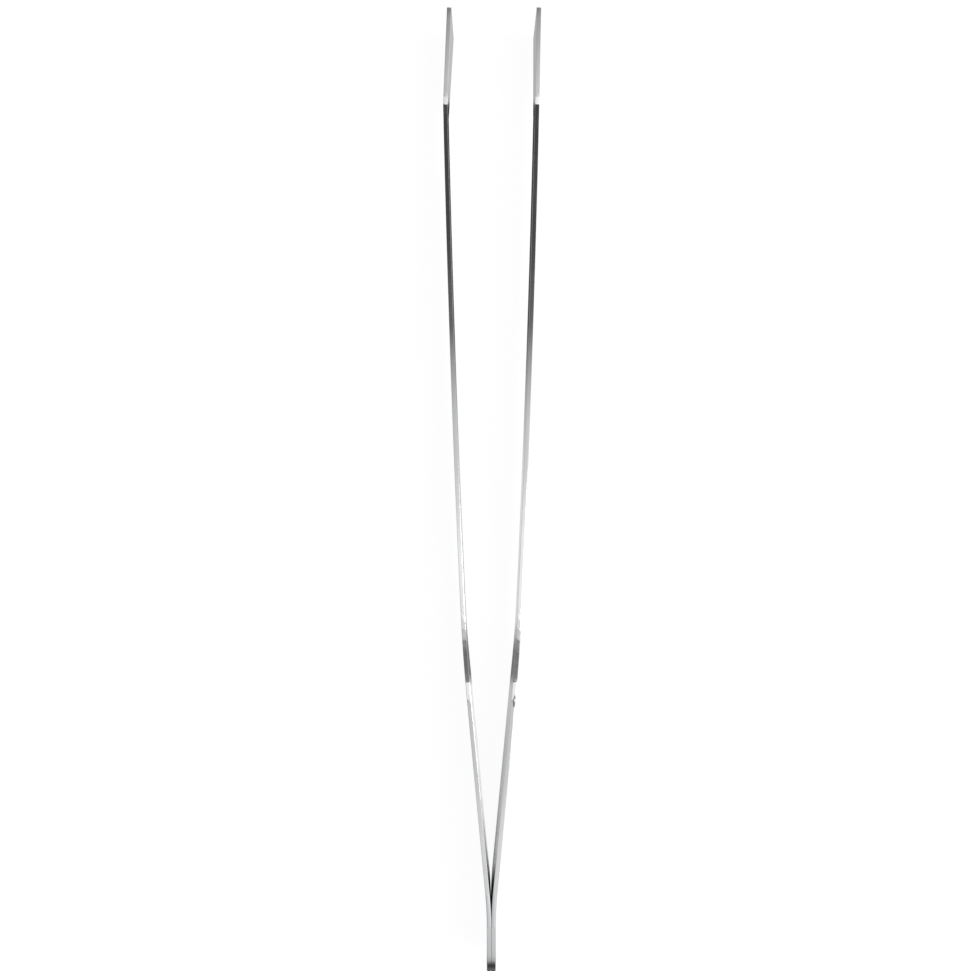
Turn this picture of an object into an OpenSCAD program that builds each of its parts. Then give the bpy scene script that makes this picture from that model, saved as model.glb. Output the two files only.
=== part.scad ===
// Print tongs for a photographic darkroom, in spring stainless steel.
//
// Two strips of sheet lie face to face at the heel, where spot welds hold them, and bend
// apart into a wide leaf each. Past a shoulder the leaf narrows into a long bowed arm, and
// the arm ends in a jaw that flares like a spatula, so that it holds wet paper on a broad edge.
//
// The tongs lie on the long edges of the strips. +Y runs from the heel to the jaws, +X across
// the opening, and +Z along the width of the strips. The origin is under the middle of the
// tongs. Each strip flexes just past its bend, so it is cut there into a heel and an arm.

/* [Sheet] */
// Thickness of the sheet
sheet_t = 1; // [0.7:0.05:1.3]
// Width of the leaf, from the heel to the shoulder
leaf_w = 15; // [12:0.5:18]
// Width of the arm where it leaves the shoulder
arm_w = 10; // [9:0.5:11.5]
// Width of the arm where it meets the jaw
neck_w = 8; // [6.5:0.5:8.5]
// Width of the jaw just past its root
jaw_root_w = 8.8; // [8.6:0.1:10]
// Width of the jaw at its tip
jaw_w = 15; // [12:0.5:18]

/* [Lengths along each strip] */
// Welded heel, where the two strips touch
heel_l = 12; // [10:0.5:20]
// Bend that turns the strip away from the other one
bend_l = 8; // [6:0.5:12]
// Straight leaf between the bend and the shoulder
leaf_l = 47; // [36:1:56]
// Shoulder, over which the strip turns back in
shoulder_l = 16; // [10:0.5:20]
// Bowed arm between the shoulder and the jaw
arm_l = 114.3; // [95:0.1:150]
// Jaw, from its crease to its tip
jaw_l = 20.5; // [16:0.5:26]

/* [Angles from the middle line] */
// Direction of the straight leaf
leaf_angle = 5.4; // [4:0.1:7]
// Direction of the arm as it leaves the shoulder
arm_angle = 2.7; // [2.5:0.1:5]
// Direction of the arm where it meets the jaw
neck_angle = 1.3; // [0.5:0.1:2]
// Inward bend of the left jaw at its crease
left_jaw_bend = 4.2; // [0:0.1:8]
// Inward bend of the right jaw at its crease
right_jaw_bend = 0.7; // [0:0.1:8]

/* [Outline of the blank] */
// Radius of the corners at the heel
heel_r = 5; // [2:0.5:6]
// Radius of the corners at the tip of the jaw
tip_r = 0.5; // [0.3:0.1:3]
// Length of the shallow brow before the taper
brow_l = 3.8; // [2:0.2:5]
// Slope of the brow
brow_slope = 4; // [2:0.5:6]
// Slope of the taper from the brow down to the arm
taper_slope = 11; // [8:0.5:16]
// Radius at the foot of the taper
foot_r = 50; // [20:5:60]
// Length of the small step at the root of the jaw
step_l = 1.6; // [1:0.2:3]

/* [Spot welds] */
// Number of welds in the row along the heel
weld_count = 2; // [1:1:2]
// Distance between two welds
weld_pitch = 4.5; // [4:0.1:6]
// Diameter of a weld nugget
nugget_d = 2.6; // [1.6:0.1:3.2]
// How far a nugget reaches into each strip
nugget_depth = 0.4; // [0.2:0.05:0.45]
// Gap round a nugget in its pocket
nugget_gap = 0.02; // [0.01:0.01:0.05]
// Diameter of the dish that the welding tip leaves on the outer face
dish_d = 3.6; // [2:0.1:4.2]
// Depth of that dish
dish_depth = 0.1; // [0.05:0.01:0.14]

/* [Flexing line] */
// Gap across the strip where the arm turns on the heel
flex_gap = 0.06; // [0.05:0.01:0.15]

/* [Hidden] */

left = -1;
right = 1;
steel = [0.74, 0.75, 0.76];
weld_grey = [0.55, 0.55, 0.57];
// Bends and corners are drawn in steps of these angles
bend_step = 0.3;
corner_step = 7.5;
// Rounding of the outline where two slopes meet
brow_r = 6;
step_r = 1;
crease_l = 0.3;
margin = 5;

// Each stretch of a strip, from heel to tip: its length, and its direction at both ends
function stretches(jaw_bend) = [
    [heel_l, 0, 0],
    [bend_l, 0, leaf_angle],
    [leaf_l, leaf_angle, leaf_angle],
    [shoulder_l, leaf_angle, arm_angle],
    [arm_l - crease_l, arm_angle, neck_angle],
    [crease_l, neck_angle, neck_angle - jaw_bend],
    [jaw_l + margin, neck_angle - jaw_bend, neck_angle - jaw_bend],
];

// Place reached after going a share of one stretch, as an exact arc or a straight line
function along(from, stretch, share) =
    let (a0 = stretch[1], a1 = a0 + (stretch[2] - a0) * share, run = stretch[0] * share)
    abs(a1 - a0) < 0.0001
        ? from + run * [sin(a0), cos(a0)]
        : from + run * 180 / PI / (a1 - a0) * [cos(a0) - cos(a1), sin(a1) - sin(a0)];

// Where each stretch starts on the middle of the sheet, followed by the end of the last one
function knots(list, i = 0, at = [sheet_t / 2, 0]) =
    i == len(list) ? [at] : concat([at], knots(list, i + 1, along(at, list[i], 1)));

// Points on the middle of the sheet with the direction there, over stretches first to last
function middle_line(list, first, last) =
    let (starts = knots(list))
    [for (i = [first:last])
        let (steps = max(1, ceil(abs(list[i][2] - list[i][1]) / bend_step)))
        for (k = [0:steps])
            let (share = k / steps)
            if (k > 0 || i == first)
                [along(starts[i], list[i], share), list[i][1] + (list[i][2] - list[i][1]) * share]];

function reversed(list) = [for (i = [len(list) - 1:-1:0]) list[i]];
function beside(p, offset) = p[0] + offset * [cos(p[1]), -sin(p[1])];

// Edge-on outline of one strip over the given stretches
module edge_view(list, first, last) {
    line = middle_line(list, first, last);
    polygon(concat(
        [for (p = line) beside(p, sheet_t / 2)],
        [for (p = reversed(line)) beside(p, -sheet_t / 2)]
    ));
}

// A corner of an outline, given as [y, z, radius], drawn as an arc that meets both sides
function rounded(before, corner, after) =
    let (
        v = [corner[0], corner[1]],
        u = [before[0], before[1]] - v,
        w = [after[0], after[1]] - v,
        to_before = u / norm(u),
        to_after = w / norm(w),
        half = acos(to_before * to_after) / 2,
        inward = (to_before + to_after) / norm(to_before + to_after),
        centre = v + inward * corner[2] / sin(half),
        turn = 180 - 2 * half,
        side = sign(to_before[1] * to_after[0] - to_before[0] * to_after[1]),
        mid = atan2(-inward[1], -inward[0]),
        steps = max(4, ceil(turn / corner_step))
    )
    [for (k = [0:steps])
        let (a = mid + side * turn * (k / steps - 0.5))
        centre + corner[2] * [cos(a), sin(a)]];

blank_left = stretches(left_jaw_bend);
blank_right = stretches(right_jaw_bend);
starts_any = knots(blank_right);
leaf_half = leaf_w / 2;
brow_drop = brow_l * tan(brow_slope);
taper_run = (leaf_half - brow_drop - arm_w / 2) / tan(taper_slope);
// The brow ends where the strip turns back in, so that shape and bend sit at one place
shoulder_y = starts_any[3][1];
jaw_y = starts_any[6][1];
tip_y = jaw_y + jaw_l;
mid_z = max(leaf_w, jaw_w) / 2;

// Upper edge of the flat blank, from the heel to the tip, as corners with their radii
upper_edge = [
    [0, leaf_half, heel_r],
    [shoulder_y - brow_l, leaf_half, brow_r],
    [shoulder_y, leaf_half - brow_drop, step_r],
    [shoulder_y + taper_run, arm_w / 2, foot_r],
    [jaw_y, neck_w / 2, step_r],
    [jaw_y + step_l, jaw_root_w / 2, step_r],
    [tip_y, jaw_w / 2, tip_r],
];
corners = concat(upper_edge, [for (c = reversed(upper_edge)) [c[0], -c[1], c[2]]]);
corner_count = len(corners);

// Side view of the blank, standing on the YZ plane
module blank() {
    outline = [for (i = [0:corner_count - 1])
        each rounded(
            corners[(i + corner_count - 1) % corner_count],
            corners[i],
            corners[(i + 1) % corner_count]
        )];
    reach = 4 * margin + (heel_l + leaf_l + arm_l) * sin(leaf_angle);
    translate([-reach, 0, mid_z])
        rotate([90, 0, 90])
            linear_extrude(2 * reach)
                polygon(outline);
}

// One strip over the given stretches, on the right of the middle plane before mirroring
module strip(side, list, first, last) {
    mirror([side == left ? 1 : 0, 0, 0])
        intersection() {
            linear_extrude(2 * mid_z)
                edge_view(list, first, last);
            blank();
        }
}

// The flexing line lies across the strip at the end of the bend
flex_at = starts_any[2];

module flex_cut(side) {
    mirror([side == left ? 1 : 0, 0, 0])
        translate([flex_at[0], flex_at[1], mid_z])
            rotate([0, 0, -leaf_angle])
                cube([2 * margin, flex_gap, 2 * mid_z + margin], center = true);
}

// The row of welds lies in the middle of the heel
module each_weld() {
    for (i = [0:weld_count - 1])
        translate([0, heel_l / 2 + (i - (weld_count - 1) / 2) * weld_pitch, mid_z])
            rotate([0, 90, 0])
                children();
}

module nugget(gap) {
    cylinder(h = 2 * nugget_depth, d = nugget_d + 2 * gap, center = true, $fn = 48);
}

// Shallow dish left on the outer face, as the cap of a large ball
module dish(side) {
    ball_r = (pow(dish_d / 2, 2) + pow(dish_depth, 2)) / (2 * dish_depth);
    translate([0, 0, side * (sheet_t - dish_depth + ball_r)])
        sphere(r = ball_r, $fn = 96);
}

module heel(side, list) {
    difference() {
        strip(side, list, 0, 1);
        flex_cut(side);
        each_weld() nugget(nugget_gap);
        each_weld() dish(side);
    }
}

module arm(side, list) {
    difference() {
        strip(side, list, 2, 6);
        flex_cut(side);
    }
}

// Puts the origin under the middle of the tongs
module placed() {
    translate([0, -tip_y / 2, 0])
        children();
}

module left_heel() {
    color(steel) placed() heel(left, blank_left);
}

module right_heel() {
    color(steel) placed() heel(right, blank_right);
}

module spot_welds() {
    color(weld_grey) placed() each_weld() nugget(0);
}

module left_arm() {
    color(steel) placed() arm(left, blank_left);
}

module right_arm() {
    color(steel) placed() arm(right, blank_right);
}

left_heel();
right_heel();
spot_welds();
left_arm();
right_arm();
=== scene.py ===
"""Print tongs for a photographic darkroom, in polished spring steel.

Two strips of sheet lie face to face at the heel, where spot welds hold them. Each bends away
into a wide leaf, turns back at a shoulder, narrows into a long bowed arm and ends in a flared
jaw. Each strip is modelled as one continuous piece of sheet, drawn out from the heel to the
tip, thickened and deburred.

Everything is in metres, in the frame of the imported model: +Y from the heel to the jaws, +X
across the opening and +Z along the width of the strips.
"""

import logging
import math
from collections.abc import Callable
from dataclasses import dataclass, field
from enum import Enum
from typing import Any

import bmesh
import bpy
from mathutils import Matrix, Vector

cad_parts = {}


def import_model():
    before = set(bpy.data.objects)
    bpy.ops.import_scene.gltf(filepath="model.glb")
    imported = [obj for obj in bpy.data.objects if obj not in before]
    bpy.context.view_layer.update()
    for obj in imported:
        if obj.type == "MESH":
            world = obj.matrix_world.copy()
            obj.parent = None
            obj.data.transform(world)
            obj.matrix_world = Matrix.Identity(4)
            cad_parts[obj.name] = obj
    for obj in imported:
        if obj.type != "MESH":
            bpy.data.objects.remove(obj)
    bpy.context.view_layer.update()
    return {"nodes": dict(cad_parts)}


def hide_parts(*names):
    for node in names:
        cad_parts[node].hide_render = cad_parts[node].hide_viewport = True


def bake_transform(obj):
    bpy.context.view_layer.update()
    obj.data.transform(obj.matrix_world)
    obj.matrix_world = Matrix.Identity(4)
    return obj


MM = 0.001
# Points of a mesh this close are one point
SAME_POINT = 0.001 * MM
# A stretch that turns by fewer degrees than this is straight
STRAIGHT = 1e-6
log = logging.getLogger("print_tongs")

Colour = tuple[float, float, float, float]
Triple = tuple[float, float, float]
Pair = tuple[float, float]


class Side(Enum):
    """Which of the two strips, by the sign of its X."""

    LEFT = -1
    RIGHT = 1


def grey_of(level: float) -> Colour:
    """Make a grey of one level."""
    return (level, level, level, 1.0)


WHITE = grey_of(1.0)


# ---- node trees


class Bench:
    """Places nodes in one node tree and wires them."""

    def __init__(self, tree: bpy.types.NodeTree) -> None:
        """Take the tree to work in, of a material, a world or a group."""
        self.tree = tree

    def add(self, kind: str, inputs: dict[Any, Any] | None = None, **settings: Any) -> Any:
        """Add one node.

        Args:
            kind: the node's type name.
            inputs: a value or a socket for each named or numbered input.
            settings: properties of the node itself.

        Returns:
            The new node.
        """
        node = self.tree.nodes.new(kind)
        for name, value in settings.items():
            setattr(node, name, value)
        for name, value in (inputs or {}).items():
            self.feed(node.inputs[name], value)
        return node

    def feed(self, socket: Any, value: Any) -> None:
        """Wire a socket to an input, or set the input's own value.

        Args:
            socket: the input to feed.
            value: an output socket, or a plain value.
        """
        if isinstance(value, bpy.types.NodeSocket):
            self.tree.links.new(value, socket)
        else:
            socket.default_value = value

    def math(self, operation: str, a: Any, b: Any = 0.0, clamp: bool = False) -> Any:
        """Combine two numbers.

        Args:
            operation: the name of the operation.
            a: first value or socket.
            b: second value or socket.
            clamp: whether the result is kept from 0 to 1.

        Returns:
            The result's socket.
        """
        node = self.add("ShaderNodeMath", {0: a, 1: b}, operation=operation, use_clamp=clamp)
        return node.outputs[0]

    def ease(
        self,
        value: Any,
        low: float,
        high: float,
        to_low: float = 0.0,
        to_high: float = 1.0,
        shape: str = "SMOOTHSTEP",
    ) -> Any:
        """Turn a range of a number into another range.

        Args:
            value: the socket to read.
            low: value at which the result is to_low.
            high: value at which the result is to_high.
            to_low: result at and below low.
            to_high: result at and above high.
            shape: how it goes from one to the other.

        Returns:
            The result's socket.
        """
        limits = {"From Min": low, "From Max": high, "To Min": to_low, "To Max": to_high}
        node = self.add("ShaderNodeMapRange", {"Value": value, **limits}, interpolation_type=shape)
        return node.outputs["Result"]

    def fade(self, value: Any, low: float, high: float, top: float = 1.0) -> Any:
        """Turn a range of a number smoothly from a top value down to 0."""
        return self.ease(value, low, high, top, 0.0)

    def vector(self, operation: str, a: Any, b: Any) -> Any:
        """Combine two places or directions, axis by axis."""
        node = self.add("ShaderNodeVectorMath", {0: a, 1: b}, operation=operation)
        return node.outputs["Vector"]

    def stretch(self, place: Any, frequency: Any) -> Any:
        """Scale a place by its own frequency, in cycles per metre, along each axis."""
        return self.vector("MULTIPLY", place, frequency)

    def split(self, place: Any) -> Any:
        """Take a place or a direction apart into its X, Y and Z."""
        return self.add("ShaderNodeSeparateXYZ", {0: place}).outputs

    def noise(self, place: Any, detail: float = 2.0, rough: float = 0.5) -> Any:
        """Read a cloud of noise at a scaled place.

        Args:
            place: the scaled place.
            detail: number of finer layers.
            rough: weight of the finer layers.

        Returns:
            The socket of the noise, about 0.5 on average.
        """
        layers = {"Scale": 1.0, "Detail": detail, "Roughness": rough}
        return self.add("ShaderNodeTexNoise", {"Vector": place, **layers}).outputs["Fac"]

    def cells(self, place: Any) -> Any:
        """Read how far a scaled place lies from the middle of its cell."""
        node = self.add("ShaderNodeTexVoronoi", {"Vector": place, "Scale": 1.0}, feature="F1")
        return node.outputs["Distance"]

    def group(self, tree: bpy.types.NodeTree, **inputs: Any) -> Any:
        """Place a shared group with its own values, and give its outputs."""
        return self.add("ShaderNodeGroup", inputs, node_tree=tree).outputs

    def blend(self, share: Any, first: Any, second: Any, mode: str = "MIX") -> Any:
        """Mix two colours.

        Args:
            share: how much of the second.
            first: colour or socket at 0.
            second: colour or socket at 1.
            mode: how they are combined.

        Returns:
            The mixed colour's socket.
        """
        inputs = {0: share, 6: first, 7: second}
        return self.add("ShaderNodeMix", inputs, data_type="RGBA", blend_type=mode).outputs[2]


def new_group(name: str, takes: dict[str, str], gives: dict[str, str]) -> tuple[Bench, Any, Any]:
    """Start a shader node group with named sockets.

    Args:
        name: the group's name.
        takes: the type of each named input.
        gives: the type of each named output.

    Returns:
        The bench to fill it with, the sockets that it is given and the sockets that it feeds.
    """
    tree = bpy.data.node_groups.new(name, "ShaderNodeTree")
    for in_out, sockets in (("INPUT", takes), ("OUTPUT", gives)):
        for label, kind in sockets.items():
            tree.interface.new_socket(label, in_out=in_out, socket_type=kind)
    bench = Bench(tree)
    return bench, bench.add("NodeGroupInput").outputs, bench.add("NodeGroupOutput").inputs


def new_material(name: str) -> tuple[bpy.types.Material, Bench]:
    """Start an empty material.

    Args:
        name: the material's name.

    Returns:
        The material and the bench to fill it with.
    """
    mat = bpy.data.materials.new(name)
    mat.use_nodes = True
    mat.node_tree.nodes.clear()
    return mat, Bench(mat.node_tree)


FLOAT = "NodeSocketFloat"
VECTOR = "NodeSocketVector"


@dataclass
class Effects:
    """The shader groups that more than one finish uses, each built once."""

    fine_share: float = 0.7
    broad_scale: Triple = (0.21, 0.35, 0.21)
    line_fade: Pair = (0.3, 1.0)
    patch_cycles: Triple = (60.0, 30.0, 60.0)
    patch_limits: Pair = (0.42, 0.58)
    film_limits: Pair = (0.42, 0.68)
    drop_scale: Triple = (2.3, 2.3, 2.3)
    ring_radius: float = 0.26
    ring_width: float = 0.035
    ring_patch_scale: Triple = (0.8, 0.8, 0.8)
    ring_patch_limits: Pair = (0.56, 0.64)
    wear_cycles: Triple = (900.0, 260.0, 900.0)
    wear_least: float = 0.35
    grain: bpy.types.NodeTree = field(init=False)
    hairlines: bpy.types.NodeTree = field(init=False)
    smears: bpy.types.NodeTree = field(init=False)
    burnish: bpy.types.NodeTree = field(init=False)

    def __post_init__(self) -> None:
        """Build every group."""
        self.grain = self.make_grain()
        self.hairlines = self.make_hairlines()
        self.smears = self.make_smears()
        self.burnish = self.make_burnish()

    def make_grain(self) -> bpy.types.NodeTree:
        """Build the rolling and polishing grain, drawn out along the sheet.

        Returns:
            A group that takes a place and frequencies and gives a height and a streak mask.
        """
        b, given, wanted = new_group(
            "polishing_grain",
            {"Place": VECTOR, "Frequency": VECTOR, "Contrast": FLOAT},
            {"Height": FLOAT, "Streak": FLOAT},
        )
        place = b.stretch(given["Place"], given["Frequency"])
        fine = b.math("MULTIPLY", b.noise(place, detail=3.0, rough=0.65), self.fine_share)
        broad = b.math("MULTIPLY", b.noise(b.stretch(place, self.broad_scale)), 1.0 - self.fine_share)
        height = b.math("ADD", fine, broad)
        centred = b.math("MULTIPLY", b.math("SUBTRACT", height, 0.5), given["Contrast"])
        b.feed(wanted["Height"], height)
        b.feed(wanted["Streak"], b.math("ADD", centred, 0.5, clamp=True))
        return b.tree

    def make_hairlines(self) -> bpy.types.NodeTree:
        """Build sparse hairline scratches from handling.

        Returns:
            A group that takes a place, a turn, a frequency and a width and gives a mask.
        """
        b, given, wanted = new_group(
            "handling_hairlines",
            {"Place": VECTOR, "Turn": VECTOR, "Frequency": VECTOR, "Width": FLOAT},
            {"Mask": FLOAT},
        )
        turned = b.add(
            "ShaderNodeVectorRotate",
            {"Vector": given["Place"], "Rotation": given["Turn"]},
            rotation_type="EULER_XYZ",
        ).outputs["Vector"]
        ratio = b.math("DIVIDE", b.cells(b.stretch(turned, given["Frequency"])), given["Width"])
        line = b.fade(ratio, *self.line_fade)
        patches = b.ease(b.noise(b.stretch(turned, self.patch_cycles)), *self.patch_limits)
        b.feed(wanted["Mask"], b.math("MULTIPLY", line, patches, clamp=True))
        return b.tree

    def make_smears(self) -> bpy.types.NodeTree:
        """Build soft smears that wet fingers and drying water leave.

        Returns:
            A group that takes a place and a frequency and gives a film and a ring mask.
        """
        b, given, wanted = new_group(
            "dried_smears", {"Place": VECTOR, "Frequency": VECTOR}, {"Film": FLOAT, "Rings": FLOAT}
        )
        place = b.stretch(given["Place"], given["Frequency"])
        cloud = b.noise(place, detail=4.0, rough=0.6)
        off_ring = b.math("SUBTRACT", b.cells(b.stretch(place, self.drop_scale)), self.ring_radius)
        ring = b.fade(b.math("ABSOLUTE", off_ring), 0.0, self.ring_width)
        patches = b.noise(b.stretch(place, self.ring_patch_scale), detail=1.0)
        b.feed(wanted["Film"], b.ease(cloud, *self.film_limits))
        b.feed(wanted["Rings"], b.math("MULTIPLY", ring, b.ease(patches, *self.ring_patch_limits)))
        return b.tree

    def make_burnish(self) -> bpy.types.NodeTree:
        """Build the broken line of wear that follows an edge.

        Returns:
            A group that takes a distance, a reach and a place and gives a mask, 1 on the edge.
        """
        b, given, wanted = new_group(
            "edge_burnish", {"Distance": FLOAT, "Reach": FLOAT, "Place": VECTOR}, {"Mask": FLOAT}
        )
        uneven = b.noise(b.stretch(given["Place"], self.wear_cycles), detail=3.0, rough=0.6)
        reach = b.math("MULTIPLY", given["Reach"], b.math("ADD", uneven, self.wear_least))
        b.feed(wanted["Mask"], b.fade(b.math("DIVIDE", given["Distance"], reach), 0.0, 1.0))
        return b.tree


# ---- finishes


@dataclass(frozen=True)
class SteelFinish:
    """Polished spring steel sheet with a fine lengthwise grain and burnished edges."""

    weld_places: tuple[float, ...] = ()
    # Painted shade: where a small dark spot is painted on the edge
    painted_shade_place: Triple | None = None
    seed: float = 0.0
    colour: Colour = (0.74, 0.75, 0.76, 1.0)
    dark_streak: Colour = (0.64, 0.65, 0.67, 1.0)
    film_tint: Colour = (0.92, 0.90, 0.87, 1.0)
    line_tint: Colour = grey_of(0.86)
    heat_straw: Colour = (0.70, 0.56, 0.37, 1.0)
    heat_blue: Colour = (0.45, 0.50, 0.62, 1.0)
    # Colour of the small dark spot of painted shade on the edge
    painted_shade_tint: Colour = (0.16, 0.16, 0.17, 1.0)
    streak_share: float = 0.55
    film_share: float = 0.22
    line_share: float = 0.25
    roughness: float = 0.13
    # Cycles per metre across the sheet, along it and up its width
    grain_cycles: Triple = (9000.0, 130.0, 9000.0)
    shear_cycles: Triple = (700.0, 5200.0, 5200.0)
    smear_cycles: Triple = (150.0, 85.0, 150.0)
    # Lengthwise and slanting hairlines: slant, cycles per metre and width as a share of a cell
    hairline_sets: tuple[tuple[float, Triple, float], ...] = (
        (0.04, (120.0, 42.0, 2400.0), 0.13),
        (0.62, (120.0, 90.0, 2600.0), 0.12),
    )
    slanting_share: float = 0.7
    line_depth: float = 0.8
    shear_depth: float = 0.5
    # How squarely a face looks across the opening, from a cut edge to a broad face
    edge_facing: Pair = (0.45, 0.85)
    burnish_reach: float = 0.55 * MM
    # Size and soft limits of the painted shade spot
    painted_shade_reach: Triple = (0.45 * MM, 1.6 * MM, 1.2 * MM)
    painted_shade_limits: Pair = (0.6, 1.15)
    weld_height: float = 7.5 * MM
    dish_radius: float = 1.8 * MM
    heat_depth: float = 0.3 * MM

    def material(self, name: str, effects: Effects) -> bpy.types.Material:
        """Build the material.

        Args:
            name: the material's name.
            effects: the shared groups.

        Returns:
            The finished material.
        """
        mat, b = new_material(name)
        sheet = b.add("ShaderNodeAttribute", attribute_name="sheet_place").outputs["Vector"]
        rim = b.add("ShaderNodeAttribute", attribute_name="rim_distance").outputs["Fac"]
        place = b.vector("ADD", sheet, (0.0, self.seed, 0.0))
        facing = b.split(b.add("ShaderNodeTexCoord").outputs["Normal"])
        cut_edge = b.fade(b.math("ABSOLUTE", facing["X"]), *self.edge_facing)

        grain = b.group(effects.grain, Place=place, Frequency=self.grain_cycles, Contrast=2.2)
        shear = b.group(effects.grain, Place=place, Frequency=self.shear_cycles, Contrast=2.0)
        lengthwise, slanting = (
            b.group(effects.hairlines, Place=place, Turn=(slant, 0.0, 0.0), Frequency=cycles, Width=width)
            for slant, cycles, width in self.hairline_sets
        )
        fainter = b.math("MULTIPLY", slanting["Mask"], self.slanting_share)
        lines = b.math("MAXIMUM", lengthwise["Mask"], fainter)
        smears = b.group(effects.smears, Place=place, Frequency=self.smear_cycles)
        worn = b.group(effects.burnish, Distance=rim, Reach=self.burnish_reach, Place=place)["Mask"]

        streak = b.math("MULTIPLY", grain["Streak"], self.streak_share)
        colour = b.blend(streak, self.colour, self.dark_streak)
        film = b.math("MULTIPLY", smears["Film"], self.film_share)
        colour = b.blend(film, colour, self.film_tint, "MULTIPLY")
        colour = b.blend(b.math("MULTIPLY", lines, self.line_share), colour, self.line_tint)
        for at in self.weld_places:
            colour = self.heat_mark(b, colour, sheet, at)
        # painted shade: a small dark spot on the edge
        if self.painted_shade_place:
            colour = self.paint_shade_spot(b, colour, sheet)

        rough = self.roughness
        for mask, change in (
            (grain["Streak"], 0.10),
            (smears["Film"], 0.07),
            (smears["Rings"], 0.05),
            (lines, 0.16),
            (worn, -0.05),
            (cut_edge, -0.05),
        ):
            rough = b.math("ADD", rough, b.math("MULTIPLY", mask, change))

        face_height = b.math("MULTIPLY", grain["Height"], b.math("SUBTRACT", 1.0, cut_edge))
        edge_height = b.math("MULTIPLY", shear["Height"], b.math("MULTIPLY", cut_edge, self.shear_depth))
        height = b.math("ADD", face_height, edge_height)
        height = b.math("SUBTRACT", height, b.math("MULTIPLY", lines, self.line_depth))
        bump = b.add("ShaderNodeBump", {"Height": height, "Strength": 0.35, "Distance": 0.004 * MM})
        steel = b.add(
            "ShaderNodeBsdfPrincipled",
            {"Base Color": colour, "Metallic": 1.0, "Roughness": rough, "Normal": bump.outputs["Normal"]},
        )
        b.add("ShaderNodeOutputMaterial", {"Surface": steel.outputs[0]})
        return mat

    def paint_shade_spot(self, b: Bench, colour: Any, sheet: Any) -> Any:
        """Darken one small spot of the edge with painted shade, a dark spot that stands for a dark
        reflection.

        Args:
            b: the bench of the material.
            colour: socket of the colour so far.
            sheet: socket of the place on the sheet.

        Returns:
            The darkened colour's socket.
        """
        off = b.vector("SUBTRACT", sheet, self.painted_shade_place)
        size = b.vector("DIVIDE", off, self.painted_shade_reach)
        away = b.add("ShaderNodeVectorMath", {0: size}, operation="LENGTH").outputs["Value"]
        return b.blend(b.fade(away, *self.painted_shade_limits, top=0.9), colour, self.painted_shade_tint)

    def heat_mark(self, b: Bench, colour: Any, sheet: Any, at: float) -> Any:
        """Add the faint rings of colour that a spot weld leaves on the outer face.

        Args:
            b: the bench of the material.
            colour: socket of the colour so far.
            sheet: socket of the place on the sheet.
            at: distance of the weld from the heel's end.

        Returns:
            The tinted colour's socket.
        """
        split = b.split(sheet)
        along = b.math("SUBTRACT", split["Y"], at)
        up = b.math("SUBTRACT", split["Z"], self.weld_height)
        square = b.math("ADD", b.math("MULTIPLY", along, along), b.math("MULTIPLY", up, up))
        away = b.math("DIVIDE", b.math("SQRT", square), self.dish_radius)
        outer = b.ease(split["X"], 0.0, self.heat_depth)
        # Each ring's tint, and how it comes and goes by the distance in radii of the dish
        for tint, comes, goes in (
            (self.heat_straw, (0.2, 0.9, 0.6, 1.0), (0.95, 1.75, 0.45)),
            (self.heat_blue, (0.72, 0.98, 0.0, 1.0), (1.0, 1.2, 0.4)),
        ):
            ring = b.math("MULTIPLY", b.ease(away, *comes), b.fade(away, *goes))
            colour = b.blend(b.math("MULTIPLY", ring, outer), colour, tint)
        return colour


@dataclass(frozen=True)
class WeldFinish:
    """Dull weld metal, slightly pitted."""

    colour: Colour = (0.55, 0.55, 0.57, 1.0)
    scale_tint: Colour = (0.36, 0.34, 0.33, 1.0)
    roughness: float = 0.45
    streak_roughness: float = 0.2
    pit_cycles: Triple = (2600.0, 2600.0, 2600.0)
    smear_cycles: Triple = (600.0, 600.0, 600.0)

    def material(self, name: str, effects: Effects) -> bpy.types.Material:
        """Build the material.

        Args:
            name: the material's name.
            effects: the shared groups.

        Returns:
            The finished material.
        """
        mat, b = new_material(name)
        place = b.add("ShaderNodeTexCoord").outputs["Object"]
        pits = b.group(effects.grain, Place=place, Frequency=self.pit_cycles, Contrast=3.0)
        smears = b.group(effects.smears, Place=place, Frequency=self.smear_cycles)
        colour = b.blend(smears["Film"], self.colour, self.scale_tint)
        rough = b.math("ADD", self.roughness, b.math("MULTIPLY", pits["Streak"], self.streak_roughness))
        bump = b.add("ShaderNodeBump", {"Height": pits["Height"], "Strength": 0.5, "Distance": 0.03 * MM})
        metal = b.add(
            "ShaderNodeBsdfPrincipled",
            {"Base Color": colour, "Metallic": 1.0, "Roughness": rough, "Normal": bump.outputs["Normal"]},
        )
        b.add("ShaderNodeOutputMaterial", {"Surface": metal.outputs[0]})
        return mat


# ---- the strips


@dataclass(frozen=True)
class Stretch:
    """One stretch of a strip: its length, its direction at both ends and how often it is drawn."""

    length: float
    start: float
    end: float
    steps: int


@dataclass(frozen=True)
class Station:
    """A place on the middle of the sheet, with the strip's direction and half width there."""

    along: float
    x: float
    y: float
    angle: float
    half: float


def pick(*objects: bpy.types.Object) -> None:
    """Select these objects and nothing else, and make the first one active.

    Args:
        objects: the objects, or none to deselect everything.
    """
    bpy.ops.object.select_all(action="DESELECT")
    for obj in objects:
        obj.select_set(True)
    if objects:
        bpy.context.view_layer.objects.active = objects[0]


def select_by(obj: bpy.types.Object, wanted: Callable[[Any], bool], kind: str = "EDGE") -> None:
    """Select the parts of the mesh in edit mode that a test picks, and nothing else.

    Args:
        obj: the object in edit mode.
        wanted: a test on each vertex or edge.
        kind: VERT or EDGE.
    """
    bpy.ops.mesh.select_mode(type=kind)
    bpy.ops.mesh.select_all(action="DESELECT")
    mesh = bmesh.from_edit_mesh(obj.data)
    for part in mesh.verts if kind == "VERT" else mesh.edges:
        part.select = wanted(part)
    mesh.select_flush_mode()
    bmesh.update_edit_mesh(obj.data)


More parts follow.
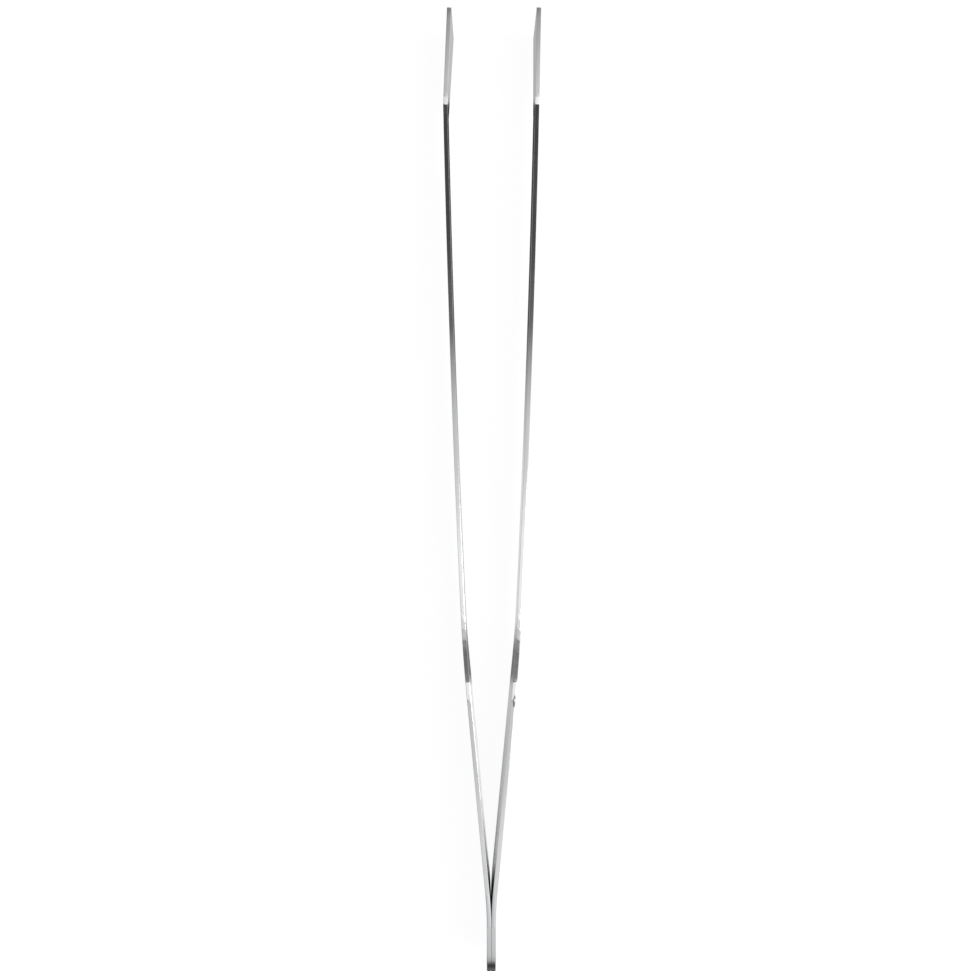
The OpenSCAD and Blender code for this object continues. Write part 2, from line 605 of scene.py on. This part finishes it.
def apply_modifier(obj: bpy.types.Object, kind: str, **settings: Any) -> None:
    """Add a modifier with its settings and apply it at once.

    Args:
        obj: the object to change.
        kind: the modifier's type.
        settings: its properties.
    """
    pick(obj)
    modifier = obj.modifiers.new(kind.lower(), kind)
    for name, value in settings.items():
        setattr(modifier, name, value)
    bpy.ops.object.modifier_apply(modifier=modifier.name)


@dataclass
class Strip:
    """One strip of the tongs, from the welded heel to the tip of its jaw."""

    side: Side
    jaw_bend: float
    sheet: float = 1.0
    leaf_width: float = 15.0
    arm_width: float = 10.0
    neck_width: float = 8.0
    jaw_root_width: float = 8.8
    jaw_width: float = 15.0
    heel_length: float = 12.0
    bend_length: float = 8.0
    leaf_length: float = 47.0
    shoulder_length: float = 16.0
    arm_length: float = 114.3
    jaw_length: float = 20.5
    crease_length: float = 0.3
    leaf_angle: float = 5.4
    arm_angle: float = 2.7
    neck_angle: float = 1.3
    heel_radius: float = 5.0
    tip_radius: float = 0.5
    brow_length: float = 3.8
    brow_slope: float = 4.0
    brow_radius: float = 6.0
    taper_slope: float = 11.0
    foot_radius: float = 50.0
    step_length: float = 1.6
    step_radius: float = 1.0
    edge_radius: float = 0.12
    weld_pitch: float = 4.5
    weld_count: int = 2
    nugget_diameter: float = 2.6
    nugget_depth: float = 0.4
    nugget_gap: float = 0.02
    dish_diameter: float = 3.6
    dish_depth: float = 0.1
    flex_reach: float = 7.0
    across: int = 8
    corner_step: float = 7.5
    station_gap: float = 0.012
    # Where a small dark spot of painted shade goes on the edge, if any
    painted_shade_place: Triple | None = None
    tip_y: float = field(init=False)

    def __post_init__(self) -> None:
        """Find how far the tip lies from the heel's end."""
        self.tip_y = self.on_path(self.before_jaw())[1] + self.jaw_length

    @property
    def name(self) -> str:
        """Which strip it is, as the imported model's names begin."""
        return self.side.name.lower()

    def before_jaw(self) -> float:
        """Add up the stretches between the heel's end and the jaw."""
        return sum(part.length for part in self.stretches()[:6])

    def stretches(self) -> list[Stretch]:
        """List the stretches from heel to tip."""
        tip = self.neck_angle - self.jaw_bend
        return [
            Stretch(self.heel_length, 0.0, 0.0, 2),
            Stretch(self.bend_length, 0.0, self.leaf_angle, 16),
            Stretch(self.leaf_length, self.leaf_angle, self.leaf_angle, 20),
            Stretch(self.shoulder_length, self.leaf_angle, self.arm_angle, 16),
            Stretch(self.arm_length - self.crease_length, self.arm_angle, self.neck_angle, 48),
            Stretch(self.crease_length, self.neck_angle, tip, 4),
            Stretch(2 * self.jaw_length, tip, tip, 16),
        ]

    def on_path(self, distance: float) -> Triple:
        """Find the middle of the sheet at a distance from the heel's end.

        Args:
            distance: millimetres along the strip.

        Returns:
            X on the strip's own side, Y from the heel's end, and the direction in degrees.
        """
        x, y, angle = self.sheet / 2, 0.0, 0.0
        for part in self.stretches():
            run = min(max(distance, 0.0), part.length)
            turn = (part.end - part.start) * run / part.length
            a0, a1 = math.radians(part.start), math.radians(part.start + turn)
            if abs(turn) < STRAIGHT:
                x, y = x + run * math.sin(a0), y + run * math.cos(a0)
            else:
                radius = run / (a1 - a0)
                x += radius * (math.cos(a0) - math.cos(a1))
                y += radius * (math.sin(a1) - math.sin(a0))
            angle = part.start + turn
            distance -= part.length
            if distance <= 0:
                break
        return x, y, angle

    def steps(self) -> list[float]:
        """List the Y of every step on the path.

        Returns:
            Millimetres from the heel's end, in order.
        """
        rows, start = [], 0.0
        for part in self.stretches():
            places = [start + part.length * k / part.steps for k in range(part.steps)]
            rows += [self.on_path(place)[1] for place in places]
            start += part.length
        return rows

    def outline(self, y_of: dict[str, float]) -> list[Pair]:
        """Draw the upper edge of the flat blank, with all its corners rounded but the tip's.

        Args:
            y_of: Y of the shoulder, the jaw's crease and the tip.

        Returns:
            Points of Y and half width from the heel's end to the tip.
        """
        leaf = self.leaf_width / 2
        drop = self.brow_length * math.tan(math.radians(self.brow_slope))
        run = (leaf - drop - self.arm_width / 2) / math.tan(math.radians(self.taper_slope))
        corners = [
            (0.0, 0.0, 0.0),
            (0.0, leaf, self.heel_radius),
            (y_of["shoulder"] - self.brow_length, leaf, self.brow_radius),
            (y_of["shoulder"], leaf - drop, self.step_radius),
            (y_of["shoulder"] + run, self.arm_width / 2, self.foot_radius),
            (y_of["jaw"], self.neck_width / 2, self.step_radius),
            (y_of["jaw"] + self.step_length, self.jaw_root_width / 2, self.step_radius),
            (y_of["tip"], self.jaw_width / 2, 0.0),
        ]
        points = []
        for before, corner, after in zip(corners, corners[1:], corners[2:]):
            points += self.rounded(Vector(before[:2]), Vector(corner[:2]), Vector(after[:2]), corner[2])
        return [*points, corners[-1][:2]]

    def rounded(self, before: Vector, corner: Vector, after: Vector, radius: float) -> list[Pair]:
        """Round one corner of the outline with an arc that meets both sides.

        Args:
            before: the corner before it.
            corner: the corner to round.
            after: the corner after it.
            radius: radius of the arc.

        Returns:
            Points of Y and half width along the arc.
        """
        back, on = (before - corner).normalized(), (after - corner).normalized()
        half = back.angle(on) / 2
        centre = corner + (back + on).normalized() * radius / math.sin(half)
        first, last = corner + back * radius / math.tan(half), corner + on * radius / math.tan(half)
        spoke, turn = first - centre, 2 * (math.pi / 2 - half)
        if spoke.cross(last - centre) < 0:
            turn = -turn
        steps = max(4, math.ceil(abs(math.degrees(turn)) / self.corner_step))
        points = []
        for k in range(steps + 1):
            c, s = math.cos(turn * k / steps), math.sin(turn * k / steps)
            points.append((centre.x + spoke.x * c - spoke.y * s, centre.y + spoke.x * s + spoke.y * c))
        return points

    def stations(self) -> list[Station]:
        """Find every place at which the strip is drawn on, from the heel's end to the tip.

        Returns:
            Stations in order, each with the half width that the outline has there.
        """
        leaf_end = sum(part.length for part in self.stretches()[:3])
        jaw_angle = math.radians(abs(self.neck_angle - self.jaw_bend))
        y_of = {
            "shoulder": self.on_path(leaf_end)[1],
            "jaw": self.on_path(self.before_jaw())[1],
            "tip": self.tip_y - self.sheet / 2 * math.sin(jaw_angle),
        }
        edge = self.outline(y_of)
        steps = {round(y, 5) for y in self.steps() if y < y_of["tip"]}
        wanted = sorted({round(y, 5) for y, _ in edge} | steps)
        kept = [wanted[0]]
        for y in wanted[1:]:
            if y - kept[-1] > self.station_gap:
                kept.append(y)
            elif y == wanted[-1]:
                kept[-1] = y
        return [self.station_at(y, edge) for y in kept]

    def station_at(self, y: float, edge: list[Pair]) -> Station:
        """Find the station that lies at a Y.

        Args:
            y: millimetres from the heel's end.
            edge: points of the outline.

        Returns:
            The station.
        """
        # A few corrections lead to the distance along the strip that has this Y
        along = y
        for _ in range(6):
            x, at, angle = self.on_path(along)
            along += (y - at) / math.cos(math.radians(angle))
        x, _, angle = self.on_path(along)
        slack = 1e-4
        spans = [(p, q) for p, q in zip(edge, edge[1:]) if q[0] > p[0]]
        pairs = [(p, q) for p, q in spans if p[0] - slack <= y <= q[0] + slack]
        (y0, h0), (y1, h1) = pairs[0] if y < edge[-1][0] / 2 else pairs[-1]
        half = h0 + (h1 - h0) * min(1.0, max(0.0, (y - y0) / (y1 - y0)))
        return Station(along, x, y, angle, half)

    @property
    def mid_height(self) -> float:
        """Height of the middle of the blank above the ground, in metres."""
        return max(self.leaf_width, self.jaw_width) / 2 * MM

    def weld_places(self) -> list[float]:
        """List the distance of each weld from the heel's end, in metres."""
        return [
            (self.heel_length / 2 + (i - (self.weld_count - 1) / 2) * self.weld_pitch) * MM
            for i in range(self.weld_count)
        ]

    def in_frame(self, x: float, y: float) -> Vector:
        """Turn a place on the strip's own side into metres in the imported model's frame."""
        return Vector((self.side.value * x * MM, (y - self.tip_y / 2) * MM, self.mid_height))

    def draw_out(self, stations: list[Station]) -> bpy.types.Object:
        """Draw the middle of the sheet out from the heel's end, station by station.

        Args:
            stations: the places to draw it through.

        Returns:
            The object, a single layer without thickness.
        """
        first, second, *others = (self.in_frame(station.x, station.y) for station in stations)
        middle = (first + second) / 2
        width = 2 * stations[0].half * MM
        pick()
        bpy.ops.mesh.primitive_grid_add(
            x_subdivisions=self.across,
            y_subdivisions=1,
            size=width,
            location=middle,
            rotation=(0.0, math.pi / 2, 0.0),
        )
        strip = bpy.context.active_object
        strip.name = strip.data.name = f"{self.name}_strip"
        bpy.ops.object.transform_apply()
        bpy.ops.object.mode_set(mode="EDIT")
        bpy.ops.transform.resize(value=(1.0, (second - first).length / width, 1.0), center_override=middle)
        select_by(strip, lambda edge: all(v.co.y > middle.y for v in edge.verts))
        widened = (1.0, 1.0, stations[1].half / stations[0].half)
        bpy.ops.transform.resize(value=widened, center_override=second)
        at = second
        for there, before, station in zip(others, stations[1:], stations[2:]):
            bpy.ops.mesh.extrude_region_move(TRANSFORM_OT_translate={"value": there - at})
            widened = (1.0, 1.0, station.half / before.half)
            bpy.ops.transform.resize(value=widened, center_override=there)
            at = there
        near = 0.01 * MM
        corner = stations[-1].half * MM - near
        select_by(strip, lambda v: v.co.y > at.y - near and abs(v.co.z - at.z) > corner, "VERT")
        flare = self.jaw_width / 2 - self.jaw_root_width / 2
        rise = math.atan2(flare, self.jaw_length - self.step_length)
        run = self.tip_radius / math.tan((math.pi / 2 - rise) / 2)
        bpy.ops.mesh.bevel(offset=run * MM, segments=6, affect="VERTICES")
        bpy.ops.mesh.select_all(action="SELECT")
        bpy.ops.mesh.remove_doubles(threshold=SAME_POINT)
        bpy.ops.mesh.normals_make_consistent(inside=False)
        bpy.ops.object.mode_set(mode="OBJECT")
        return strip

    def weld_tools(self) -> bpy.types.Object:
        """Make the shapes that the welding leaves in this strip: outer dishes and inner pockets.

        Returns:
            One object that holds them all, to be cut away.
        """
        ball = ((self.dish_diameter / 2) ** 2 + self.dish_depth**2) / (2 * self.dish_depth)
        face = self.side.value * self.sheet * MM
        proud = self.side.value * 0.03 * MM
        tools = []
        for along in self.weld_places():
            y = along - self.tip_y / 2 * MM
            pick()
            bpy.ops.mesh.primitive_uv_sphere_add(
                segments=72,
                ring_count=180,
                radius=ball * MM,
                location=(face + self.side.value * (ball - self.dish_depth) * MM, y, self.mid_height),
                rotation=(0.0, math.pi / 2, 0.0),
            )
            cap = bpy.context.active_object
            bpy.ops.object.transform_apply()
            bpy.ops.object.mode_set(mode="EDIT")
            bpy.ops.mesh.bisect(
                plane_co=(face + proud, y, self.mid_height),
                plane_no=(self.side.value, 0.0, 0.0),
                use_fill=True,
                clear_outer=True,
                threshold=SAME_POINT,
            )
            bpy.ops.mesh.select_all(action="SELECT")
            bpy.ops.mesh.normals_make_consistent(inside=False)
            bpy.ops.object.mode_set(mode="OBJECT")
            tools.append(cap)
            bpy.ops.mesh.primitive_cylinder_add(
                vertices=48,
                radius=(self.nugget_diameter / 2 + self.nugget_gap) * MM,
                depth=2 * self.nugget_depth * MM,
                location=(0.0, y, self.mid_height),
                rotation=(0.0, math.pi / 2, 0.0),
            )
            bpy.ops.object.transform_apply()
            tools.append(bpy.context.active_object)
        pick(*tools)
        bpy.ops.object.join()
        return tools[0]

    def finish_sheet(self, strip: bpy.types.Object) -> None:
        """Give the layer its thickness, round its cut edges and press the welds.

        Args:
            strip: the single layer.
        """
        apply_modifier(
            strip, "SOLIDIFY", thickness=self.sheet * MM, offset=0.0, use_even_offset=True, use_rim=True
        )
        apply_modifier(
            strip,
            "BEVEL",
            width=self.edge_radius * MM,
            segments=3,
            limit_method="ANGLE",
            angle_limit=math.radians(50.0),
            use_clamp_overlap=False,
        )
        tools = self.weld_tools()
        apply_modifier(strip, "BOOLEAN", operation="DIFFERENCE", solver="EXACT", object=tools)
        bpy.data.objects.remove(tools)
        pick(strip)
        bpy.ops.object.shade_smooth_by_angle(angle=math.radians(24.0))
        apply_modifier(strip, "WEIGHTED_NORMAL", keep_sharp=True, weight=60)

    def mark_places(self, strip: bpy.types.Object, stations: list[Station]) -> None:
        """Write where each point lies on the sheet, for the finish to follow.

        Args:
            strip: the finished mesh.
            stations: the places it was drawn through.
        """
        mesh = strip.data
        places, rims = [], []
        for vertex in mesh.vertices:
            y = vertex.co.y / MM + self.tip_y / 2
            k = next((k for k, s in enumerate(stations[1:]) if s.y >= y), len(stations) - 2)
            a, b = stations[k], stations[k + 1]
            share = min(1.0, max(0.0, (y - a.y) / (b.y - a.y)))
            tilt = math.cos(math.radians(a.angle + (b.angle - a.angle) * share))
            depth = (self.side.value * vertex.co.x / MM - a.x - (b.x - a.x) * share) * tilt
            along = a.along + (b.along - a.along) * share
            half = a.half + (b.half - a.half) * share
            places += [depth * MM, along * MM, vertex.co.z]
            rims.append(max(0.0, half * MM - abs(vertex.co.z - self.mid_height)))
        mesh.attributes.new("sheet_place", "FLOAT_VECTOR", "POINT").data.foreach_set("vector", places)
        mesh.attributes.new("rim_distance", "FLOAT", "POINT").data.foreach_set("value", rims)
        mesh.update()

    def build(self, effects: Effects) -> bpy.types.Object:
        """Build the strip, dress it and hide the imported heel and arm that it stands in for.

        Args:
            effects: the shared groups.

        Returns:
            The finished strip.
        """
        stations = self.stations()
        strip = self.draw_out(stations)
        self.finish_sheet(strip)
        self.mark_places(strip, stations)
        finish = SteelFinish(
            weld_places=tuple(self.weld_places()),
            painted_shade_place=self.painted_shade_place,
            seed=0.37 * self.side.value,
        )
        strip.data.materials.clear()
        strip.data.materials.append(finish.material(f"{self.name}_spring_steel", effects))
        self.hang(strip)
        log.info("%s: %d stations, %d faces", strip.name, len(stations), len(strip.data.polygons))
        return strip

    def hang(self, strip: bpy.types.Object) -> None:
        """Hide the imported heel and arm of this strip, and set the strip's place into its mesh.

        Args:
            strip: the finished strip.
        """
        x, y, angle = self.on_path(self.heel_length + self.bend_length)
        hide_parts(f"{self.name}_heel", f"{self.name}_arm")
        f"{self.name}_arm"
        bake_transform(strip)


@dataclass
class SpotWelds:
    """The weld nuggets between the two strips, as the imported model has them."""

    node: bpy.types.Object

    def dress(self, effects: Effects) -> None:
        """Give the nuggets their dull metal.

        Args:
            effects: the shared groups.
        """
        self.node.data.materials.clear()
        self.node.data.materials.append(WeldFinish().material("weld_metal", effects))
        log.info("%s: dressed", self.node.name)


# ---- the studio


@dataclass(frozen=True)
class GreyRamp:
    """Greys by place along one measure, blended from each stop to the next."""

    stops: tuple[Pair, ...]
    # How much of the measure the ramp covers, and the unit of the stops
    span: float
    unit: float = 1.0

    def read(self, b: Bench, value: Any) -> Any:
        """Look up the grey at a place.

        Args:
            b: the bench to work on.
            value: socket of the place, 0 in the middle of the ramp.

        Returns:
            The grey's socket.
        """
        share = b.math("ADD", b.math("DIVIDE", value, self.span), 0.5)
        ramp = b.add("ShaderNodeValToRGB", {"Fac": share})
        elements = ramp.color_ramp.elements
        while len(elements) > 1:
            elements.remove(elements[-1])
        for i, (at, level) in enumerate(self.stops):
            place = at * self.unit / self.span + 0.5
            element = elements[0] if i == 0 else elements.new(place)
            element.position = place
            element.color = grey_of(level)
        return ramp.outputs["Color"]


@dataclass
class Studio:
    """A plain white table under soft light, seen from straight above."""

    floor_size: float = 3.0
    floor_drop: float = 0.02 * MM
    floor_white: Colour = grey_of(0.9)
    # Painted shade: the grey that the mirrored table turns to far out
    floor_far: Colour = grey_of(0.4)
    white_share: float = 0.93
    glow: float = 1.02
    # Where the painted shade of the mirrored table changes, each as a soft step
    side_change: Pair = (-0.4 * MM, -0.1 * MM)
    strip_change: Pair = (0.0, 0.5 * MM)
    far_change: Pair = (30.0 * MM, 200.0 * MM)
    heel_change: Pair = (-112.0 * MM, -108.0 * MM)
    heel_sides: Pair = (5.0 * MM, 16.0 * MM)
    heel_shade: Colour = grey_of(0.05)
    # Where the walls of the surround begin, as the X of a direction
    wall_change: Pair = (0.72, 0.94)
    # Half the opening between the strips as two straight lines, of which the nearer one counts:
    # Y and distance from the middle line at two places on each, in millimetres
    opening: tuple[tuple[Pair, Pair], ...] = (
        ((-92.0, 0.8), (20.0, 11.0)),
        ((-40.0, 5.6), (88.0, 10.2)),
    )
    camera_place: Triple = (-0.00140, 0.00197, 0.220)
    focal_pixels: float = 921.1
    frame_pixels: float = 971.0
    sensor: float = 36.0

    def floor(self) -> None:
        """Lay the white table that the tongs lie on."""
        pick()
        bpy.ops.mesh.primitive_plane_add(size=self.floor_size, location=(0.0, 0.0, -self.floor_drop))
        table = bpy.context.active_object
        table.name = "table_top"
        mat, b = new_material("white_table")
        path = b.add("ShaderNodeLightPath").outputs
        mirrored = b.math("MAXIMUM", path["Is Glossy Ray"], path["Is Transmission Ray"])
        share = b.math("ADD", mirrored, b.math("MULTIPLY", path["Is Camera Ray"], self.white_share))
        matt = b.add("ShaderNodeBsdfDiffuse", {"Color": self.floor_white})
        white = b.add("ShaderNodeEmission", {"Color": self.shaded(b, mirrored), "Strength": self.glow})
        both = b.add("ShaderNodeMixShader", {0: share, 1: matt.outputs[0], 2: white.outputs[0]})
        b.add("ShaderNodeOutputMaterial", {"Surface": both.outputs[0]})
        table.data.materials.append(mat)

    def shaded(self, b: Bench, mirrored: Any) -> Any:
        """Paint shade on the table where the steel mirrors it: between the strips, behind the heel, far
        out.

        Args:
            b: the bench of the table's material.
            mirrored: socket that is 1 where the steel sees the table.

        Returns:
            The socket of the table's colour.
        """
        place = b.split(b.add("ShaderNodeTexCoord").outputs["Object"])
        away = b.math("ABSOLUTE", place["X"])
        sides = [ramp.read(b, place["Y"]) for ramp in (BETWEEN_LEFT, BETWEEN_RIGHT)]
        between = b.blend(b.ease(place["X"], *self.side_change), *sides)
        open_table = b.blend(b.ease(away, *self.far_change), self.floor_white, self.floor_far)
        past_strips = b.math("SUBTRACT", away, self.half_opening(b, place["Y"]))
        shade = b.blend(b.ease(past_strips, *self.strip_change), between, open_table)
        past_heel = b.fade(place["Y"], *self.heel_change)
        behind = b.math("MULTIPLY", past_heel, b.fade(away, *self.heel_sides))
        return b.blend(mirrored, WHITE, b.blend(behind, shade, self.heel_shade))

    def half_opening(self, b: Bench, along: Any) -> Any:
        """Find how far the strips stand from the middle line, as they open towards the jaws.

        Args:
            b: the bench of the table's material.
            along: socket of Y.

        Returns:
            The distance's socket, in metres.
        """
        lines = (
            b.ease(along, y0 * MM, y1 * MM, x0 * MM, x1 * MM, shape="LINEAR")
            for (y0, x0), (y1, x1) in self.opening
        )
        return b.math("MINIMUM", *lines)

    def surround(self) -> None:
        """Set the soft surround: light panels and dark fields overhead, and pale walls at the sides."""
        world = bpy.data.worlds.new("soft_surround")
        bpy.context.scene.world = world
        world.use_nodes = True
        world.node_tree.nodes.clear()
        b = Bench(world.node_tree)
        way = b.split(b.add("ShaderNodeTexCoord").outputs["Generated"])
        tilt = b.math("ARCTAN2", way["Y"], way["Z"])
        above = b.blend(1.0, OVERHEAD.read(b, tilt), SLANT.read(b, way["X"]), "MULTIPLY")
        outward = b.ease(b.math("ABSOLUTE", way["X"]), *self.wall_change)
        colour = b.blend(outward, above, SIDEWAYS.read(b, way["X"]))
        camera = b.add("ShaderNodeLightPath").outputs["Is Camera Ray"]
        back = b.add("ShaderNodeBackground", {"Color": b.blend(camera, colour, WHITE)})
        b.add("ShaderNodeOutputWorld", {"Surface": back.outputs[0]})

    def lamps(self) -> None:
        """Hang three large soft lamps, the strongest above and a little to the right."""
        for name, place, size, power in (
            ("soft_key", (0.46, -0.20, 0.80), (0.30, 0.60), 4.0),
            ("soft_right", (0.75, -0.10, 0.62), (0.55, 0.55), 2.5),
            ("soft_left", (-0.80, 0.25, 0.70), (0.50, 0.50), 1.2),
        ):
            pick()
            bpy.ops.object.light_add(type="AREA", location=place)
            lamp = bpy.context.active_object
            lamp.name = name
            lamp.data.shape = "RECTANGLE"
            lamp.data.size, lamp.data.size_y = size
            lamp.data.energy = power
            lamp.rotation_euler = (-Vector(place)).to_track_quat("-Z", "Y").to_euler()

    def camera(self) -> None:
        """Put the camera straight above, as the photograph was taken."""
        pick()
        bpy.ops.object.camera_add(location=self.camera_place, rotation=(0.0, 0.0, 0.0))
        camera = bpy.context.active_object
        camera.data.sensor_width = self.sensor
        camera.data.lens = self.focal_pixels / self.frame_pixels * self.sensor
        camera.data.clip_start = 0.01
        bpy.context.scene.camera = camera

    def build(self) -> None:
        """Set up the table, the light and the camera."""
        self.floor()
        self.surround()
        self.lamps()
        self.camera()
        bpy.context.scene.view_settings.view_transform = "Standard"
        log.info("studio: table, surround, lamps and camera")


# Light panels and dark fields that the edges of the strips mirror, by degrees from straight up
# towards the jaws
OVERHEAD = GreyRamp(
    (
        # the dim end of the room behind the heel
        (-90.0, 0.20),
        (-60.0, 0.05),
        (-46.0, 0.10),
        # the rear panel, with a soft near edge
        (-30.0, 0.50),
        (-24.0, 0.90),
        (-20.0, 0.90),
        # the pale ceiling between the panels
        (-18.0, 0.75),
        (-10.0, 0.75),
        # the main panel overhead, dimmer towards the jaws
        (-6.0, 1.15),
        (-2.0, 1.15),
        (1.5, 0.80),
        (5.0, 0.75),
        (9.0, 0.42),
        # the black card over the jaws
        (10.5, 0.15),
        (16.0, 0.08),
        (26.0, 0.06),
        # the pale wall beyond it
        (34.0, 0.45),
        (44.0, 0.80),
        (90.0, 0.80),
    ),
    span=math.pi,
    unit=math.radians(1.0),
)
# Painted shade on the table between the strips, seen only where the steel mirrors it, left and
# right of the middle line, by millimetres towards the jaws from the middle of the tongs
BETWEEN_LEFT = GreyRamp(
    (
        # the shade of the heel, and the white table between the leaves
        (-98.0, 0.00),
        (-94.0, 0.80),
        (-90.0, 1.00),
        (-46.0, 1.00),
        # the shade under the shoulders, and the paler table between the arms
        (-43.0, 0.20),
        (-37.0, 0.20),
        (-30.0, 0.70),
        (5.0, 0.70),
        (25.0, 0.40),
        # the shade of the black card, and the paler table between the jaws
        (40.0, 0.08),
        (92.5, 0.03),
        (94.0, 0.60),
        (112.0, 0.60),
    ),
    span=0.25,
    unit=MM,
)
BETWEEN_RIGHT = GreyRamp(
    (
        # the same fields, with a longer shade of the heel
        (-95.0, 0.00),
        (-90.0, 0.15),
        (-75.0, 0.40),
        (-46.0, 0.60),
        (-43.0, 0.20),
        (-37.0, 0.20),
        (-30.0, 0.80),
        (5.0, 0.80),
        (25.0, 0.40),
        (40.0, 0.08),
        (92.5, 0.03),
        (94.0, 0.50),
        (112.0, 0.50),
    ),
    span=0.25,
    unit=MM,
)
# The surround by the X of a direction: the share of the overhead light, and the walls
SLANT = GreyRamp(
    ((-1.0, 0.6), (-0.4, 0.65), (-0.08, 0.94), (0.0, 1.0), (0.08, 1.06), (0.4, 1.5), (1.0, 1.6)), span=2.0
)
SIDEWAYS = GreyRamp(((-1.0, 0.65), (-0.5, 0.70), (0.5, 0.95), (1.0, 1.0)), span=2.0)


def main() -> None:
    """Build the tongs and the studio."""
    logging.basicConfig(level=logging.INFO, format="%(name)s: %(message)s")
    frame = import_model()
    effects = Effects()
    Strip(Side.LEFT, jaw_bend=4.2).build(effects)
    # The right strip gets a small dark spot of painted shade on its top edge at the shoulder
    Strip(Side.RIGHT, jaw_bend=0.7, painted_shade_place=(0.30 * MM, 62.9 * MM, 15.0 * MM)).build(effects)
    SpotWelds(frame["nodes"]["spot_welds"]).dress(effects)
    Studio().build()


if __name__ == "__main__":
    main()
